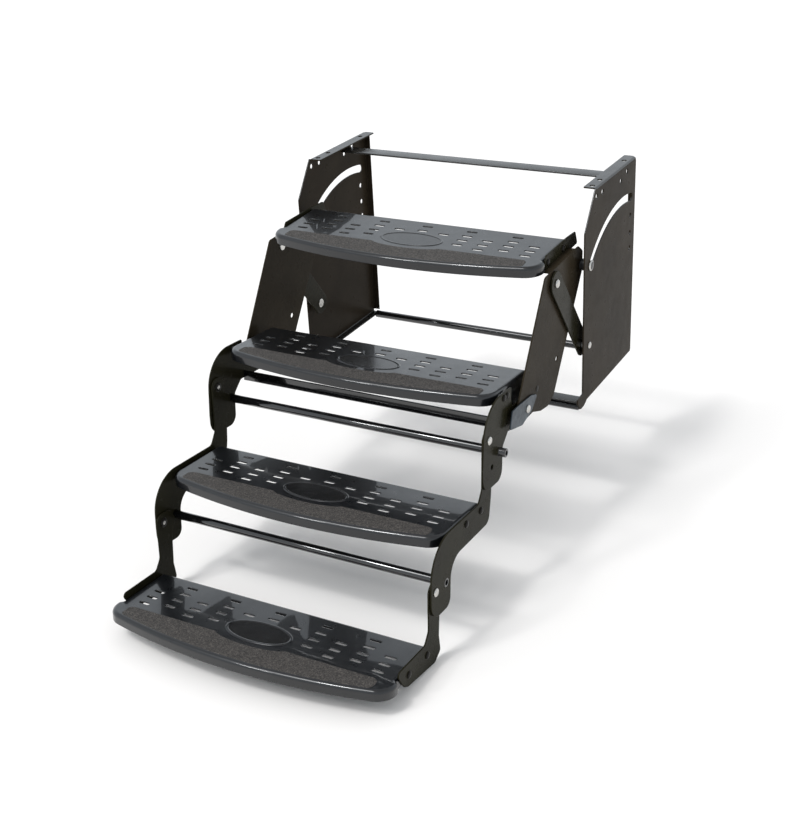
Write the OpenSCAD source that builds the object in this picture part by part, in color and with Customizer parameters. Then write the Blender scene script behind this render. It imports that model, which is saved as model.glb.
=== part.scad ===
// Caravan pull out step: four treads on folding side brackets, carried by a
// swing-link frame that is bolted under the floor beside the door.
// Units are millimetres. +Z is up, -Y is the way the step is pulled out, X is across.
// The origin is the middle of the top flange bolt pattern, on the top face.

/* [Frame] */
// Outside width over the two frame side plates
frame_width = 686; // [680:1:700]
// Thickness of the side plates and their flanges
plate_t = 3; // [2.5:0.5:3]
// Height of the side plates
frame_height = 465; // [463:1:467]
// Diameter of the bolt holes in the top flanges
bolt_hole = 11; // [9:0.5:12]
// Bolt spacing of the top flange from front to back
bolt_pitch_y = 194; // [190:1:196]
// Width of the curved guide slot
guide_slot = 17.6; // [17:0.1:18.5]

/* [Swing links] */
// Width of the swing link
link_width = 50; // [46:1:52]
// Diameter of the link pivots
pivot_d = 12; // [10:0.5:13]
// Diameter of the guide roller
roller_d = 25; // [22:0.5:26]

/* [Treads] */
// Depth of a tread at the middle
tread_depth = 209; // [206:0.5:210]
// Height of the flange round a tread
flange = 22; // [20:1:23]
// How far the nose of the top and bottom treads stands out past their sides
nose = 7; // [5:0.5:8]
// Sheet thickness of a tread
sheet = 2.5; // [2:0.25:3]
// Length of a tread slot
slot_l = 24; // [16:1:26]
// Width of a tread slot
slot_w = 7; // [5:0.5:8]
// Thickness of the grip strip
grip_t = 1; // [0.6:0.1:1.4]

/* [Brackets] */
// Drop from one folding tread to the next
rise = 200; // [199:0.5:201]
// Step forward from one folding tread to the next
run = 215; // [214:0.5:216]
// Diameter of the tie rods
rod_d = 18; // [16:0.5:18]
// Front-up tilt of the folding treads
pitch = 5; // [4.5:0.1:5.5]

/* [Hidden] */
$fn = 48;
e = 0.01;
hw = frame_width / 2;          // outside of the frame plate
hi = hw - plate_t;             // inside of the frame plate
tw = hw - 40;                  // half width of a tread
x_b4 = tw;                     // bracket 4, inner face
x_b3 = tw + 4;                 // bracket 3
x_b2 = tw + 8;                 // bracket 2
bt = 3;                        // bracket thickness
x_leg = hw - 24;               // leg, inner face
lt = 3;                        // leg thickness
x_link = hw - 19;              // link, inner face
link_t = 4;
ft = 3.5;                      // foot plate thickness
y0 = 139;                      // frame rear edge to the origin
run_fit = 0.05;                // radial clearance of a turning fit

c_p = [-278, -337];            // frame pivot of the link
b_p = [-426, -146];            // leg pivot of the link
a_p = [-278, -157];            // guide roller, pulled out
foot_p = [-570, -358];         // pivot of the folding treads on the leg
stop_p = [-514, -339];         // stop stud on the leg
g_c = [-84.8, -350.2];         // centre of the guide slot
g_r = 273;
g_a0 = 135;
g_a1 = 78.7;

t1_o = [-311, -92];            // rear top edge of tread 1
t1_pitch = -2;
t2_o = [-520, -297.5];
hy = -201.5;                   // hinge, forward of the tread it is under
h23 = -75.5;
h34 = -93;
rod2_p = [-150, -118];
rod3_p = [-156, -95];

function turn(v, a) = [v[0] * cos(a) - v[1] * sin(a), v[0] * sin(a) + v[1] * cos(a)];
t3_o = t2_o + turn([-run, -rise], -pitch);
t4_o = t2_o + turn([-2 * run, -2 * rise], -pitch);
foot_l = turn(foot_p - t2_o, pitch);   // foot pivot seen from tread 2
stop_l = turn(stop_p - t2_o, pitch);

// outline with a radius at each corner: [y, z, r]
function unit(v) = v / norm(v);
function corner(p, q, r, rad, n) = rad <= 0 ? [q] :
    let (a = unit(p - q), b = unit(r - q), w = acos(a * b), t = rad / tan(w / 2),
         c = q + unit(a + b) * rad / sin(w / 2), s = q + a * t, f = q + b * t,
         a0 = atan2(s[1] - c[1], s[0] - c[0]), d0 = atan2(f[1] - c[1], f[0] - c[0]) - a0,
         d = d0 > 180 ? d0 - 360 : d0 < -180 ? d0 + 360 : d0)
    [for (i = [0:n]) c + rad * [cos(a0 + d * i / n), sin(a0 + d * i / n)]];
function xy(p) = [p[0], p[1]];
function soft(v, n = 7) = [for (i = [0:len(v) - 1]) let (m = len(v))
    each corner(xy(v[(i + m - 1) % m]), xy(v[i]), xy(v[(i + 1) % m]), v[i][2], n)];

// ---- helpers ----
// side view outline (y, z) made into a plate from x = a to x = b
module plate(a, b) { translate([a, 0, 0]) rotate([90, 0, 90]) linear_extrude(b - a) children(); }
module bar(p, d, a, b) { translate([a, p[0], p[1]]) rotate([0, 90, 0]) cylinder(d = d, h = b - a); }
module dot(p, d) { translate(p) circle(d = d); }
module both() { children(); mirror([1, 0, 0]) children(); }
module left() { mirror([1, 0, 0]) children(); }
module home() { translate([0, y0, 0]) children(); }
module at(o, tilt) { translate([0, o[0], o[1]]) rotate([-tilt, 0, 0]) children(); }
// low round head standing on x = a
module head(p, d, h, a) {
    translate([a, p[0], p[1]]) rotate([0, 90, 0]) {
        cylinder(d = d, h = h * 0.45);
        translate([0, 0, h * 0.45]) cylinder(d1 = d, d2 = d * 0.72, h = h * 0.35);
        translate([0, 0, h * 0.8]) cylinder(d1 = d * 0.72, d2 = d * 0.4, h = h * 0.2);
    }
}

// ---- frame ----
module frame_outline() {
    polygon(soft([[0, 0, 0], [-253, 0, 10], [-311, -79, 12], [-311, -438, 3], [-340, -438, 4],
        [-340, -451, 6], [-323, -frame_height - 5, 8], [-304, -frame_height - 5, 6], [-290, -frame_height, 5], [0, -frame_height, 0]]));
}
function arc(c, r, a0, a1, n) = [for (i = [0:n]) c + r * [cos(a0 + (a1 - a0) * i / n), sin(a0 + (a1 - a0) * i / n)]];
module guide_slot_2d() {
    g = guide_slot / 2;
    polygon(concat(arc(g_c, g_r + g, g_a0, g_a1, 26), arc(g_c + g_r * [cos(g_a1), sin(g_a1)], g, g_a1 - 12, g_a1 - 168, 11),
        arc(g_c, g_r - g, g_a1, g_a0, 26), arc(g_c + g_r * [cos(g_a0), sin(g_a0)], g, g_a0 - 192, g_a0 - 348, 11)));
}
module frame_side() {
    color([0.07, 0.07, 0.075]) home() {
        plate(hi, hw) difference() {
            frame_outline();
            guide_slot_2d();
            dot(c_p, pivot_d + 2 * run_fit);
            for (p = [[-247, -18], [-213, -18], [-100, -27.5], [-62, -17]]) dot(p, 11);
            for (z = [-124, -164, -200]) dot([-33, z], 11);
        }
        difference() {
            translate([hw - 29, -250, -plate_t]) cube([29 - plate_t, 250, plate_t]);
            for (y = [-y0 - bolt_pitch_y / 2, -192, -y0 + bolt_pitch_y / 2])
                translate([hw - 14.5, y, -10]) cylinder(d = bolt_hole, h = 20);
        }
        translate([hw - 17, -plate_t, -frame_height]) cube([17 - plate_t, plate_t, frame_height - plate_t]);
        translate([hw - 19, -290, -frame_height]) cube([19 - plate_t, 290 - plate_t, plate_t]);
    }
}
module frame_side_right() { frame_side(); }
module frame_side_left() { left() frame_side(); }
module top_crossbar() {
    color([0.07, 0.07, 0.075]) home() translate([-hi, -114, -21]) cube([2 * hi, 39, 4]);
}
module rear_lower_rod() {
    color([0.06, 0.06, 0.065]) home() bar([-19, 2 - frame_height], rod_d, 19 - hw, hw - 19);
}
module front_lower_bar() {
    color([0.07, 0.07, 0.075]) home() translate([-hi, -341, -448]) cube([2 * hi, 29, 4]);
}
module front_lower_rod() {
    color([0.06, 0.06, 0.065]) home() bar([-325, -463], 15, -hi, hi);
}
module frame_pivot_rivets() {
    color([0.75, 0.75, 0.73]) home() both() {
        head(c_p, 15, 4, hw);
        bar(c_p, pivot_d, x_link - 0.2, hw + e);
        bar(c_p, 22, x_link + link_t + 0.3, hi);
        bar(c_p, 20, x_link - 1.4, x_link - 0.2);
    }
}

// ---- swing links ----
module swing_link() {
    d = b_p - c_p;
    w = atan2(d[1], d[0]);
    color([0.07, 0.07, 0.075]) home() plate(x_link, x_link + link_t) difference() {
        polygon(concat(arc(c_p, link_width / 2, w + 90, w + 270, 20), arc(b_p, link_width / 2, w - 90, w + 90, 20)));
        for (p = [c_p, b_p]) dot(p, pivot_d + 2 * run_fit);
    }
}
module swing_link_right() { swing_link(); }
module swing_link_left() { left() swing_link(); }

// ---- legs and the first tread ----
module leg_outline() {
    polygon(soft([[-470, -119, 10], [-291, -113, 14], [-267, -130, 10], [-271, -174, 12], [-425, -393, 14],
        [-457, -404, 14], [-494, -398, 10], [-535, -382, 10], [-590, -381, 12], [-606, -368, 8], [-612, -345, 6], [-606, -330, 6]]));
}
module leg() {
    color([0.07, 0.07, 0.075]) home() {
        plate(x_leg, x_leg + lt) difference() {
            leg_outline();
            dot(b_p, pivot_d + 2 * run_fit);
            dot(a_p, 14.6 + 2 * run_fit);
            dot(foot_p, pivot_d + 2 * run_fit);
            dot(stop_p, 8 + 2 * run_fit);
            dot([-410, -317], 11);
        }
        at(t1_o, t1_pitch) translate([tw - sheet, -132, -flange - 3]) cube([x_leg - tw + sheet, 137, 3]);
    }
}
module leg_right() { leg(); }
module leg_left() { left() leg(); }

// plan outline of a tread, drawn in by s
f_r = 1197;                               // radius of the bowed front edge
f_c = 38;                                 // radius of the front corners
module tread_plan(s = 0, n = 0) {
    h = tw + n;                           // half width at the nose
    q = -126 - s * (sqrt(2) - 1);         // where the side steps out to the nose
    yc = f_r - tread_depth;
    cx = h - f_c;
    cy = yc - sqrt(pow(f_r - f_c, 2) - cx * cx);
    kx = cx * (f_r - s) / (f_r - f_c);
    intersection() {
        translate([0, yc]) circle(r = f_r - s, $fn = 360);
        translate([-kx, -tread_depth - 10]) square([2 * kx, tread_depth + 10 - s]);
    }
    if (n > 0)
        polygon([[tw - s, -s], [-tw + s, -s], [-tw + s, q], [-h + s, q - n], [-h + s, cy], [h - s, cy], [h - s, q - n], [tw - s, q]]);
    else
        translate([-tw + s, cy]) square([2 * (tw - s), -cy - s]);
    intersection() {
        for (m = [-1, 1]) translate([m * cx, cy]) circle(r = f_c - s);
        translate([-h, cy - f_c]) square([2 * h, f_c]);
    }
}
module tread_slot(x, y) {
    translate([x - slot_l / 2 + slot_w / 2, y - slot_w / 2]) square([slot_l - slot_w, slot_w]);
    for (m = [-1, 1]) translate([x + m * (slot_l - slot_w) / 2, y]) circle(d = slot_w);
}
module tread_slots() {
    for (k = [-4, -2, 0, 2, 4], j = [0:3])
        if (k != 0 || j < 2) tread_slot(52 * k, -29 - 25 * j);
    for (k = [-5, -3, -1, 1, 3, 5], j = [0:2])
        if (abs(k) > 1) tread_slot(52 * k, -67 - 24.5 * j);
        else if (j == 0) tread_slot(52 * k, -60);
}
function oval(rx, ry, n) = [for (i = [0:n - 1]) [rx * cos(360 * i / n), ry * sin(360 * i / n)]];
module tread(side_holes, n = 0) {
    color([0.06, 0.06, 0.065]) difference() {
        union() {
            translate([0, 0, -flange]) linear_extrude(flange) tread_plan(0, n);
            translate([0, -105, -e]) linear_extrude(0.8 + e) polygon(oval(71, 35, 40));
        }
        translate([0, 0, -flange - 1]) linear_extrude(flange + 1 - sheet) tread_plan(sheet, n);
        translate([0, 0, -sheet - 1]) linear_extrude(sheet + 2) tread_slots();
        for (p = side_holes) bar(p, 8, -tw - 1, tw + 1);
    }
}
module grip(n = 0) {
    color([0.30, 0.28, 0.26]) linear_extrude(grip_t) difference() {
        tread_plan(8, n);
        translate([-tw - 20, -137]) square([2 * tw + 40, 140]);
        translate([0, -137]) polygon(oval(76, 15.5, 24));
        for (m = [-1, 1]) scale([m, 1]) polygon([[tw - 41, -130], [tw - 41, -137], [tw - 27, -150], [tw - 27, -220], [tw + 40, -220], [tw + 40, -130]]);
    }
}
// bolts along the side of a tread: head on x = a, nut inside the flange
module side_bolts(places, a) {
    color([0.10, 0.10, 0.105]) both() for (p = places) {
        head(p, 14, 3.5, a);
        bar(p, 7.9, tw - sheet, a + e);
        bar(p, 13, tw - sheet - 4, tw - sheet);
    }
}
module side_spacers(places, a) {
    color([0.12, 0.12, 0.125]) both() for (p = places) difference() {
        bar(p, 13, tw, a);
        bar(p, 8, tw - 1, a + 1);
    }
}
t1_bolts = [[-28, -11], [-108, -11]];
t2_bolts = [[-121, -12], [-136, -12]];
t3_bolts = [[-10, -12], [-74, -12]];
t4_bolts = [[-12, -12], [-84, -12]];

module tread_1() { home() at(t1_o, t1_pitch) tread(t1_bolts, nose); }
module tread_1_grip() { home() at(t1_o, t1_pitch) grip(nose); }
module tread_1_rails() {
    color([0.07, 0.07, 0.075]) home() at(t1_o, t1_pitch) both() plate(tw, tw + bt) difference() {
        polygon(soft([[-122, -flange, 2], [7, -flange, 0], [12, -flange - 7, 4], [53, -flange - 7, 4], [42, 0, 4], [-6, 4, 14], [-114, 6, 5], [-122, -4, 4]]));
        for (p = t1_bolts) dot(p, 8);
    }
}
module tread_1_bolts() { home() at(t1_o, t1_pitch) side_bolts(t1_bolts, tw + bt); }
module link_rivets() {
    color([0.75, 0.75, 0.73]) home() both() {
        head(b_p, 18, 5, x_link + link_t + 0.3);
        bar(b_p, pivot_d, x_leg, x_link + link_t + 0.3 + e);
        bar(b_p, 26, x_leg + lt, x_link - 0.3);
        bar(b_p, 20, x_leg - 3, x_leg);
    }
}
module guide_rollers() {
    color([0.10, 0.10, 0.105]) home() both() difference() {
        bar(a_p, roller_d, x_leg + lt, hi - 0.5);
        bar(a_p, 14.7, x_leg, hi);
    }
}
module guide_pins() {
    color([0.75, 0.75, 0.73]) home() both() {
        bar(a_p, 14.6, x_leg, hw + 0.5 + e);
        bar(a_p, 20, x_leg - 3, x_leg);
        head(a_p, 23, 5, hw + 0.5);
    }
}
module foot_plates() {
    color([0.66, 0.69, 0.74]) home() both() plate(x_leg + lt, x_leg + lt + ft) difference() {
        polygon(soft([[-643, -330, 5], [-604, -332, 0], [-550, -337, 0], [-519, -348, 5], [-550, -372, 6], [-596, -382, 6], [-640, -370, 4], [-654, -366, 4]]));
        dot(foot_p, pivot_d + 2 * run_fit);
    }
}
module foot_pivot_bolts() {
    a = x_leg + lt + ft;
    color([0.72, 0.72, 0.70]) home() both() {
        head(foot_p, 17, 5, a);
        bar(foot_p, pivot_d, x_b2 - 0.3, a + e);
        bar(foot_p, 20, x_b2 - 5, x_b2 - 0.3);
    }
}
module foot_spacers() {
    color([0.12, 0.12, 0.125]) home() both() difference() {
        bar(foot_p, 22, x_b2 + bt + 0.3, x_leg);
        bar(foot_p, pivot_d + 2 * run_fit, x_b2, x_leg + 1);
    }
}
module stop_studs() {
    color([0.75, 0.75, 0.73]) home() both() {
        bar(stop_p, 14, x_b2 - 1, x_leg);
        bar(stop_p, 8, x_leg - e, x_leg + lt + e);
        head(stop_p, 13, 1.4, x_leg + lt);
    }
}

// ---- folding treads ----
module bracket_2_outline() {
    f = stop_l[1] - 7.3;               // top of the stop finger
    difference() {
        polygon(soft([[-101, -1, 4], [-224, -1, 75], [-228, -130, 0], [-226, -179, 34], [-137, -179, 22],
            [-137, -112, 14], [-112, -88, 10], [foot_l[0] + 12, -88, 22], [stop_l[0] + 10, -70, 6], [stop_l[0] + 10, f, 4],
            [foot_l[0] + 22, f, 6], [foot_l[0] + 10, -41.5, 8], [-94, -44, 8], [-101, -28, 6]]));
        dot(foot_l, pivot_d + 2 * run_fit);
        dot([hy, h23], pivot_d + 2 * run_fit);
        dot(rod2_p, rod_d + 2 * run_fit);
        dot([-186, -136], 11);
        for (p = t2_bolts) dot(p, 8);
    }
}
module bracket_2() { color([0.07, 0.07, 0.075]) home() at(t2_o, pitch) plate(x_b2, x_b2 + bt) bracket_2_outline(); }
module bracket_2_right() { bracket_2(); }
module bracket_2_left() { left() bracket_2(); }
// the side flanges of the second tread run down in an ear that stiffens them above the foot pivot
module tread_2() {
    home() at(t2_o, pitch) {
        tread(t2_bolts);
        color([0.06, 0.06, 0.065]) both() plate(tw - sheet + 0.2, tw - 0.2)
            polygon(soft([[-104, -12, 0], [-104, -40, 14], [-80, -64, 14], [-24, -64, 16], [-6, -44, 12], [-6, -12, 0]]));
    }
}
module tread_2_grip() { home() at(t2_o, pitch) grip(); }
module tread_2_spacers() { home() at(t2_o, pitch) side_spacers(t2_bolts, x_b2); }
module tread_2_bolts() { home() at(t2_o, pitch) side_bolts(t2_bolts, x_b2 + bt); }
module tie_rod_2() { color([0.06, 0.06, 0.065]) home() at(t2_o, pitch) bar(rod2_p, rod_d, 15 - hw, hw - 15); }
module cross_bar_2() {
    color([0.07, 0.07, 0.075]) home() at(t2_o, pitch) translate([-x_b2, -101, -94]) cube([2 * x_b2, 5, 22]);
}
// hinge pin held in the outer bracket, turning in the inner one
module hinge_rivet(p, xi, xo) {
    head(p, 17, 4.5, xo + bt);
    bar(p, pivot_d, xi - 0.3, xo + bt + e);
    bar(p, 22, xi + bt + 0.2, xo);
    bar(p, 20, xi - 3, xi - 0.3);
}
module hinge_rivets_2() { color([0.75, 0.75, 0.73]) home() at(t2_o, pitch) both() hinge_rivet([hy, h23], x_b3, x_b2); }

// The neck runs from the hinge down to the rear of the tread, with a heel that stops on the tie rod.
heel_3 = rod2_p + [run - rod_d / 2 - 0.15, rise];
heel_4 = rod3_p + [run - rod_d / 2 - 0.15, rise];
neck_w = 21;
module bracket_3_outline() {
    h = [hy + run, h23 + rise];
    difference() {
        polygon(soft([[h[0] - neck_w, h[1] + neck_w, neck_w - 1.5], [h[0] + neck_w, h[1] + neck_w, neck_w - 1.5],
            [h[0] + neck_w, heel_3[1] + 26, 6], [heel_3[0], heel_3[1] + 12, 5], [heel_3[0], heel_3[1] - 12, 5], [39, heel_3[1] - 28, 14],
            [36, -3, 0], [28, -54, 18], [-138, -57, 40], [-140, -149, 18],
            [-217, -149, 36], [-219, -100, 0], [-218, 5, 75], [-20, 5, 12], [-5, 30, 16]]));
        dot(h, pivot_d + 2 * run_fit);
        dot([hy, h34], pivot_d + 2 * run_fit);
        dot(rod3_p, rod_d + 2 * run_fit);
        for (p = t3_bolts) dot(p, 8);
    }
}
module bracket_3() { color([0.07, 0.07, 0.075]) home() at(t3_o, pitch) plate(x_b3, x_b3 + bt) bracket_3_outline(); }
module bracket_3_right() { bracket_3(); }
module bracket_3_left() { left() bracket_3(); }
module tread_3() { home() at(t3_o, pitch) tread(t3_bolts); }
module tread_3_grip() { home() at(t3_o, pitch) grip(); }
module tread_3_spacers() { home() at(t3_o, pitch) side_spacers(t3_bolts, x_b3); }
module tread_3_bolts() { home() at(t3_o, pitch) side_bolts(t3_bolts, x_b3 + bt); }
module tie_rod_3() { color([0.06, 0.06, 0.065]) home() at(t3_o, pitch) bar(rod3_p, rod_d, -x_b3 - bt, x_b3 + bt); }
module hinge_rivets_3() { color([0.75, 0.75, 0.73]) home() at(t3_o, pitch) both() hinge_rivet([hy, h34], x_b4, x_b3); }

module bracket_4_outline() {
    h = [hy + run, h34 + rise];
    difference() {
        polygon(soft([[h[0] - neck_w, h[1] + neck_w, neck_w - 1.5], [h[0] + neck_w, h[1] + neck_w, neck_w - 2],
            [heel_4[0], heel_4[1] + 1, 2], [heel_4[0], heel_4[1] - 14, 5], [39, heel_4[1] - 28, 14],
            [36, 5, 12], [43, -30, 8], [21, -46, 14], [-86, -36, 10], [-102, -28, 8], [-130, 12, 8], [-20, 12, 10], [-5, 34, 16]]));
        dot(h, pivot_d + 2 * run_fit);
        for (p = t4_bolts) dot(p, 8);
    }
}
module bracket_4() { color([0.07, 0.07, 0.075]) home() at(t4_o, pitch) plate(x_b4, x_b4 + bt) bracket_4_outline(); }
module bracket_4_right() { bracket_4(); }
module bracket_4_left() { left() bracket_4(); }
module tread_4() { home() at(t4_o, pitch) tread(t4_bolts, nose); }
module tread_4_grip() { home() at(t4_o, pitch) grip(nose); }
module tread_4_bolts() { home() at(t4_o, pitch) side_bolts(t4_bolts, x_b4 + bt); }

frame_side_left();
frame_side_right();
top_crossbar();
rear_lower_rod();
front_lower_bar();
front_lower_rod();
frame_pivot_rivets();
swing_link_left();
swing_link_right();
leg_left();
leg_right();
tread_1();
tread_1_grip();
tread_1_rails();
tread_1_bolts();
link_rivets();
guide_rollers();
guide_pins();
foot_plates();
foot_pivot_bolts();
foot_spacers();
stop_studs();
bracket_2_left();
bracket_2_right();
tread_2();
tread_2_grip();
tread_2_spacers();
tread_2_bolts();
tie_rod_2();
cross_bar_2();
hinge_rivets_2();
bracket_3_left();
bracket_3_right();
tread_3();
tread_3_grip();
tread_3_spacers();
tread_3_bolts();
tie_rod_3();
hinge_rivets_3();
bracket_4_left();
bracket_4_right();
tread_4();
tread_4_grip();
tread_4_bolts();
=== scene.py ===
import bpy
import random
from math import sin, cos, tan, atan2, acos, pi, radians, sqrt, hypot
from mathutils import Vector, Matrix
from mathutils.geometry import tessellate_polygon


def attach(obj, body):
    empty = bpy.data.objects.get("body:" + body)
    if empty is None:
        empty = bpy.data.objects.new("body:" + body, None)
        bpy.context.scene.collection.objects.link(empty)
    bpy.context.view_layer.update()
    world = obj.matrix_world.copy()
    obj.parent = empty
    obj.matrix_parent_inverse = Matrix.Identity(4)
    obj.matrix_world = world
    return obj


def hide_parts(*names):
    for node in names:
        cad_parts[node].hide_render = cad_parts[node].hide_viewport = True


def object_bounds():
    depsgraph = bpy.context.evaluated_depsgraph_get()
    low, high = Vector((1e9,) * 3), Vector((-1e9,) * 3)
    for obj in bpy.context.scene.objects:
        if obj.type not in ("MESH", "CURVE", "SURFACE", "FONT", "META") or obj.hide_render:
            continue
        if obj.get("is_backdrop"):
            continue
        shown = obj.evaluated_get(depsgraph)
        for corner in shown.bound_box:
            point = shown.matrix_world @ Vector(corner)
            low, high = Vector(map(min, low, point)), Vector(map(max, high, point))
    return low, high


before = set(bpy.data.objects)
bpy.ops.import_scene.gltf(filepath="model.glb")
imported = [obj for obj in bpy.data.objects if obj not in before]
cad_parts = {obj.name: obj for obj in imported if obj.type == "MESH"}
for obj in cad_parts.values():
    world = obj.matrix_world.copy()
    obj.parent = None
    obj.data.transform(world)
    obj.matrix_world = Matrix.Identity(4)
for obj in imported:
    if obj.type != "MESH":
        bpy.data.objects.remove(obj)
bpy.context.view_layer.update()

# ------------------------------------------------------------------ sizes, mm
HW, HI, TW = 343.0, 340.0, 303.0
X4, X3, X2 = 303.0, 307.0, 311.0
BT = 3.0
XLEG, LT = 319.0, 3.0
XLINK, LINKT = 324.0, 4.0
FT = 3.5
Y0 = 139.0
C_P, B_P, A_P = (-278.0, -337.0), (-426.0, -146.0), (-278.0, -157.0)
FOOT, STOP = (-570.0, -358.0), (-514.0, -339.0)
G_C, G_R, G_A0, G_A1, G_W = (-84.8, -350.2), 273.0, 135.0, 78.7, 17.6
T1_O, T1_TILT = (-311.0, -92.0), -2.0
T2_O, TILT = (-520.0, -297.5), 5.0
RISE, RUN = 200.0, 215.0
HY, H23, H34 = -201.5, -75.5, -93.0
ROD2, ROD3, ROD_D = (-150.0, -118.0), (-156.0, -95.0), 18.0
DEPTH, FLANGE, SHEET, NOSE = 209.0, 22.0, 2.5, 7.0
F_R, F_C = 1197.0, 38.0


def turn(p, a):
    a = radians(a)
    return (p[0] * cos(a) - p[1] * sin(a), p[0] * sin(a) + p[1] * cos(a))


def plus(p, q):
    return (p[0] + q[0], p[1] + q[1])


T3_O = plus(T2_O, turn((-RUN, -RISE), -TILT))
T4_O = plus(T2_O, turn((-2 * RUN, -2 * RISE), -TILT))
FOOT_L = turn((FOOT[0] - T2_O[0], FOOT[1] - T2_O[1]), TILT)
STOP_L = turn((STOP[0] - T2_O[0], STOP[1] - T2_O[1]), TILT)


def at(o, tilt):
    return Matrix.Translation((0, o[0] + Y0, o[1])) @ Matrix.Rotation(radians(-tilt), 4, "X")


HOME = Matrix.Translation((0, Y0, 0))
U1, U2, U3, U4 = at(T1_O, T1_TILT), at(T2_O, TILT), at(T3_O, TILT), at(T4_O, TILT)


# ------------------------------------------------------------------ outlines
def corner(p, q, r, rad, n):
    if rad <= 0:
        return [q]
    ax, ay = p[0] - q[0], p[1] - q[1]
    bx, by = r[0] - q[0], r[1] - q[1]
    la, lb = hypot(ax, ay), hypot(bx, by)
    ax, ay, bx, by = ax / la, ay / la, bx / lb, by / lb
    w = acos(max(-1, min(1, ax * bx + ay * by)))
    t = rad / tan(w / 2)
    mx, my = ax + bx, ay + by
    lm = hypot(mx, my)
    c = (q[0] + mx / lm * rad / sin(w / 2), q[1] + my / lm * rad / sin(w / 2))
    s, f = (q[0] + ax * t, q[1] + ay * t), (q[0] + bx * t, q[1] + by * t)
    a0 = atan2(s[1] - c[1], s[0] - c[0])
    d = atan2(f[1] - c[1], f[0] - c[0]) - a0
    if d > pi:
        d -= 2 * pi
    if d < -pi:
        d += 2 * pi
    return [(c[0] + rad * cos(a0 + d * i / n), c[1] + rad * sin(a0 + d * i / n)) for i in range(n + 1)]


def soft(v, n=None):
    out, m = [], len(v)
    for i in range(m):
        r = v[i][2]
        k = n or max(4, min(20, int(r / 2.2) + 4))
        out += corner(v[(i - 1) % m][:2], v[i][:2], v[(i + 1) % m][:2], r, k)
    return tidy(out)


def tidy(p):
    out = []
    for q in p:
        if not out or hypot(q[0] - out[-1][0], q[1] - out[-1][1]) > 0.02:
            out.append(q)
    if hypot(out[0][0] - out[-1][0], out[0][1] - out[-1][1]) < 0.02:
        out.pop()
    return out


def ring(c, d, n=28):
    return [(c[0] + d / 2 * cos(2 * pi * i / n), c[1] + d / 2 * sin(2 * pi * i / n)) for i in range(n)]


def arc(c, r, a0, a1, n):
    return [(c[0] + r * cos(radians(a0 + (a1 - a0) * i / n)), c[1] + r * sin(radians(a0 + (a1 - a0) * i / n))) for i in range(n + 1)]


def area(p):
    return sum(p[i][0] * p[(i + 1) % len(p)][1] - p[(i + 1) % len(p)][0] * p[i][1] for i in range(len(p))) / 2


def inset(p, d, keep=None):
    """p moved towards its left by d: into the material for a CCW outside and a CW hole."""
    out, m = [], len(p)
    for i in range(m):
        if keep and keep(p[i]):
            out.append(p[i])
            continue
        a, b, c = p[i - 1], p[i], p[(i + 1) % m]
        d1, d2 = (b[0] - a[0], b[1] - a[1]), (c[0] - b[0], c[1] - b[1])
        l1, l2 = hypot(*d1) or 1e-9, hypot(*d2) or 1e-9
        n1, n2 = (-d1[1] / l1, d1[0] / l1), (-d2[1] / l2, d2[0] / l2)
        nx, ny = n1[0] + n2[0], n1[1] + n2[1]
        k = nx * nx + ny * ny
        k = 2 * d / k if k > 0.4 else d
        out.append((b[0] + nx * k, b[1] + ny * k))
    return out


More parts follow.
